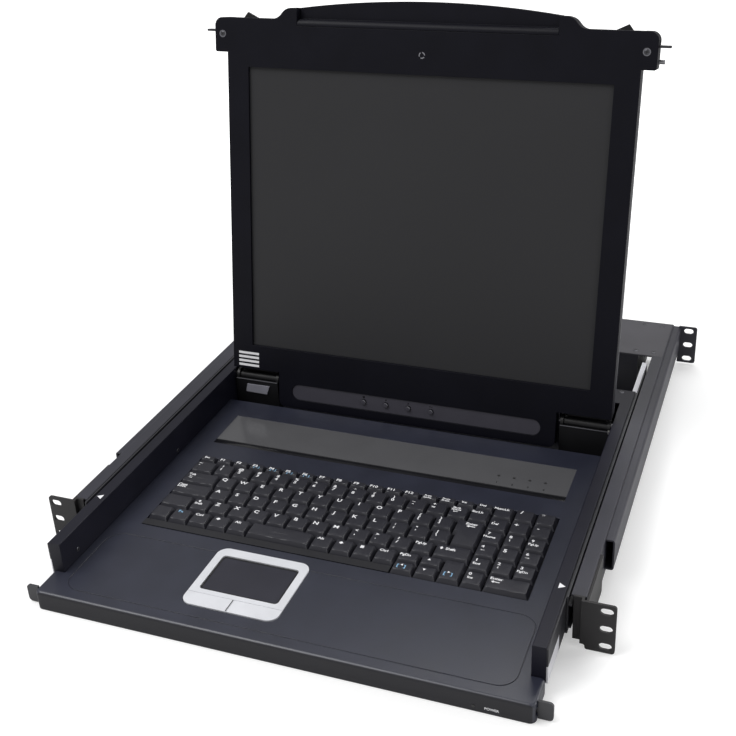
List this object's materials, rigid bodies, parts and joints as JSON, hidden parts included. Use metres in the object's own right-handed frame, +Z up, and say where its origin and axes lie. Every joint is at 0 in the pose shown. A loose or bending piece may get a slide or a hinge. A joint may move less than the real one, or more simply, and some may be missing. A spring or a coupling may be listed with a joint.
{
  "type": "rackmount lcd console drawer",
  "caption": "One-unit rack console drawer: hinged flat screen over a keyboard tray with touchpad, on telescopic slides.",
  "frame": {"origin": "centre of the four outer front rack slots, on the front face of the front brackets", "axes": "+X to the right seen from the front, +Y to the rear of the rack, +Z up"},
  "size_m": [0.482, 0.5557, 0.398],
  "materials": {
    "rail_steel": "satin, dark blue-grey",
    "tray_steel": "satin, dark blue-grey",
    "zinc_steel": "zinc plated",
    "circuit_board": "solder mask",
    "supply_case": "plain",
    "black_plastic": "fine texture",
    "port_metal": "nickel plated",
    "deck_plastic": "fine texture",
    "gloss_strip": "gloss",
    "lamp_lens": "translucent",
    "silver_plastic": "silver, satin",
    "pad_surface": "smooth",
    "key_plastic": "fine texture",
    "catch_metal": "satin",
    "bezel_plastic": "fine texture",
    "lid_shell": "painted, satin",
    "screen": "anti-glare"
  },
  "bodies": {
    "chassis": {"rail_left": "rail_steel", "rail_right": "rail_steel", "front_bracket_left": "rail_steel", "front_bracket_right": "rail_steel", "rear_bracket_left": "rail_steel", "rear_bracket_right": "rail_steel", "rear_housing": "rail_steel", "rear_cover": "rail_steel", "main_board": "circuit_board", "power_supply": "supply_case", "power_inlet": "black_plastic", "computer_ports": "port_metal", "slide_outer_left": "zinc_steel", "slide_outer_right": "zinc_steel"},
    "rocker": {"power_switch": "black_plastic"},
    "mid_left": {"slide_mid_left": "zinc_steel"},
    "mid_right": {"slide_mid_right": "zinc_steel"},
    "drawer": {"slide_inner_left": "zinc_steel", "slide_inner_right": "zinc_steel", "drawer_pan": "tray_steel", "side_channel_left": "tray_steel", "side_channel_right": "tray_steel", "cross_cover": "tray_steel", "deck": "deck_plastic", "status_strip": "gloss_strip", "lamps": "lamp_lens", "touchpad_frame": "silver_plastic", "touchpad": "pad_surface", "keyboard_base": "black_plastic", "hinge_bases": "zinc_steel", "hinge_pins": "zinc_steel"},
    "pad_button_left": {"touchpad_button_left": "silver_plastic"},
    "pad_button_right": {"touchpad_button_right": "silver_plastic"},
    "release_left": {"tray_catch_left": "catch_metal"},
    "release_right": {"tray_catch_right": "catch_metal"},
    "lid": {"lid_bezel": "bezel_plastic", "lid_back": "lid_shell", "lcd_panel": "screen", "lid_handle": "bezel_plastic", "hinge_leaves": "zinc_steel", "menu_board": "circuit_board", "latch_pins": "zinc_steel", "lid_stops": "black_plastic"},
    "lid_release_left": {"lid_catch_left": "catch_metal"},
    "lid_release_right": {"lid_catch_right": "catch_metal"},
    "keys_function": {"keys_function": "key_plastic"},
    "keys_number": {"keys_number": "key_plastic"},
    "keys_upper": {"keys_upper": "key_plastic"},
    "keys_home": {"keys_home": "key_plastic"},
    "keys_lower": {"keys_lower": "key_plastic"},
    "keys_bottom": {"keys_bottom": "key_plastic"},
    "space_bar": {"space_bar": "key_plastic"},
    "enter_key": {"enter_key": "key_plastic"},
    "keys_arrows": {"keys_arrows": "key_plastic"},
    "keys_numpad": {"keys_numpad": "key_plastic"},
    "menu_1": {"menu_button_1": "bezel_plastic"},
    "menu_2": {"menu_button_2": "bezel_plastic"},
    "menu_3": {"menu_button_3": "bezel_plastic"},
    "menu_4": {"menu_button_4": "bezel_plastic"}
  },
  "joints": [
    {"name": "drawer_slide", "type": "slide", "parent": "chassis", "child": "drawer", "axis": [0, -1, 0], "range_m": [-0.0745, 0.29]},
    {"name": "mid_slide_left", "type": "slide", "parent": "chassis", "child": "mid_left", "axis": [0, -1, 0], "range_m": [-0.0373, 0.1451]},
    {"name": "mid_slide_right", "type": "slide", "parent": "chassis", "child": "mid_right", "axis": [0, -1, 0], "range_m": [-0.0373, 0.1451]},
    {"name": "lid_hinge", "type": "hinge", "parent": "drawer", "child": "lid", "pos_m": [0, 0.258, 0.0126], "axis": [1, 0, 0], "range_deg": [-15, 100]},
    {"name": "switch_rock", "type": "hinge", "parent": "chassis", "child": "rocker", "pos_m": [0.112, 0.46865, -0.00065], "axis": [1, 0, 0], "range_deg": [-14, 0]},
    {"name": "pad_button_left_press", "type": "slide", "parent": "drawer", "child": "pad_button_left", "axis": [0, 0, -1], "range_m": [0, 0.0006], "stiffness_N_per_m": 1200, "springref_m": -0.0006},
    {"name": "release_left_pull", "type": "slide", "parent": "drawer", "child": "release_left", "axis": [0, -1, 0], "range_m": [0, 0.003], "stiffness_N_per_m": 500, "springref_m": -0.002},
    {"name": "lid_release_left_pull", "type": "slide", "parent": "lid", "child": "lid_release_left", "axis": [0, 0.1736, 0.9848], "range_m": [0, 0.004], "stiffness_N_per_m": 500, "springref_m": -0.002},
    {"name": "pad_button_right_press", "type": "slide", "parent": "drawer", "child": "pad_button_right", "axis": [0, 0, -1], "range_m": [0, 0.0006], "stiffness_N_per_m": 1200, "springref_m": -0.0006},
    {"name": "release_right_pull", "type": "slide", "parent": "drawer", "child": "release_right", "axis": [0, -1, 0], "range_m": [0, 0.003], "stiffness_N_per_m": 500, "springref_m": -0.002},
    {"name": "lid_release_right_pull", "type": "slide", "parent": "lid", "child": "lid_release_right", "axis": [0, 0.1736, 0.9848], "range_m": [0, 0.004], "stiffness_N_per_m": 500, "springref_m": -0.002},
    {"name": "keys_function_press", "type": "slide", "parent": "drawer", "child": "keys_function", "axis": [0, 0, -1], "range_m": [0, 0.002], "stiffness_N_per_m": 5100, "springref_m": -0.001},
    {"name": "keys_number_press", "type": "slide", "parent": "drawer", "child": "keys_number", "axis": [0, 0, -1], "range_m": [0, 0.002], "stiffness_N_per_m": 4500, "springref_m": -0.001},
    {"name": "keys_upper_press", "type": "slide", "parent": "drawer", "child": "keys_upper", "axis": [0, 0, -1], "range_m": [0, 0.002], "stiffness_N_per_m": 3900, "springref_m": -0.001},
    {"name": "keys_home_press", "type": "slide", "parent": "drawer", "child": "keys_home", "axis": [0, 0, -1], "range_m": [0, 0.002], "stiffness_N_per_m": 3900, "springref_m": -0.001},
    {"name": "keys_lower_press", "type": "slide", "parent": "drawer", "child": "keys_lower", "axis": [0, 0, -1], "range_m": [0, 0.002], "stiffness_N_per_m": 4200, "springref_m": -0.001},
    {"name": "keys_bottom_press", "type": "slide", "parent": "drawer", "child": "keys_bottom", "axis": [0, 0, -1], "range_m": [0, 0.002], "stiffness_N_per_m": 2700, "springref_m": -0.001},
    {"name": "space_bar_press", "type": "slide", "parent": "drawer", "child": "space_bar", "axis": [0, 0, -1], "range_m": [0, 0.002], "stiffness_N_per_m": 450, "springref_m": -0.001},
    {"name": "enter_key_press", "type": "slide", "parent": "drawer", "child": "enter_key", "axis": [0, 0, -1], "range_m": [0, 0.002], "stiffness_N_per_m": 450, "springref_m": -0.001},
    {"name": "keys_arrows_press", "type": "slide", "parent": "drawer", "child": "keys_arrows", "axis": [0, 0, -1], "range_m": [0, 0.002], "stiffness_N_per_m": 1500, "springref_m": -0.001},
    {"name": "keys_numpad_press", "type": "slide", "parent": "drawer", "child": "keys_numpad", "axis": [0, 0, -1], "range_m": [0, 0.002], "stiffness_N_per_m": 5100, "springref_m": -0.001},
    {"name": "menu_1_press", "type": "slide", "parent": "lid", "child": "menu_1", "axis": [0, 0.9848, -0.1736], "range_m": [0, 0.0007], "stiffness_N_per_m": 900, "springref_m": -0.0006},
    {"name": "menu_2_press", "type": "slide", "parent": "lid", "child": "menu_2", "axis": [0, 0.9848, -0.1736], "range_m": [0, 0.0007], "stiffness_N_per_m": 900, "springref_m": -0.0006},
    {"name": "menu_3_press", "type": "slide", "parent": "lid", "child": "menu_3", "axis": [0, 0.9848, -0.1736], "range_m": [0, 0.0007], "stiffness_N_per_m": 900, "springref_m": -0.0006},
    {"name": "menu_4_press", "type": "slide", "parent": "lid", "child": "menu_4", "axis": [0, 0.9848, -0.1736], "range_m": [0, 0.0007], "stiffness_N_per_m": 900, "springref_m": -0.0006}
  ],
  "couplings": [
    {"joint": "mid_slide_left", "follows": "drawer_slide", "ratio": 0.5},
    {"joint": "mid_slide_right", "follows": "drawer_slide", "ratio": 0.5}
  ]
}
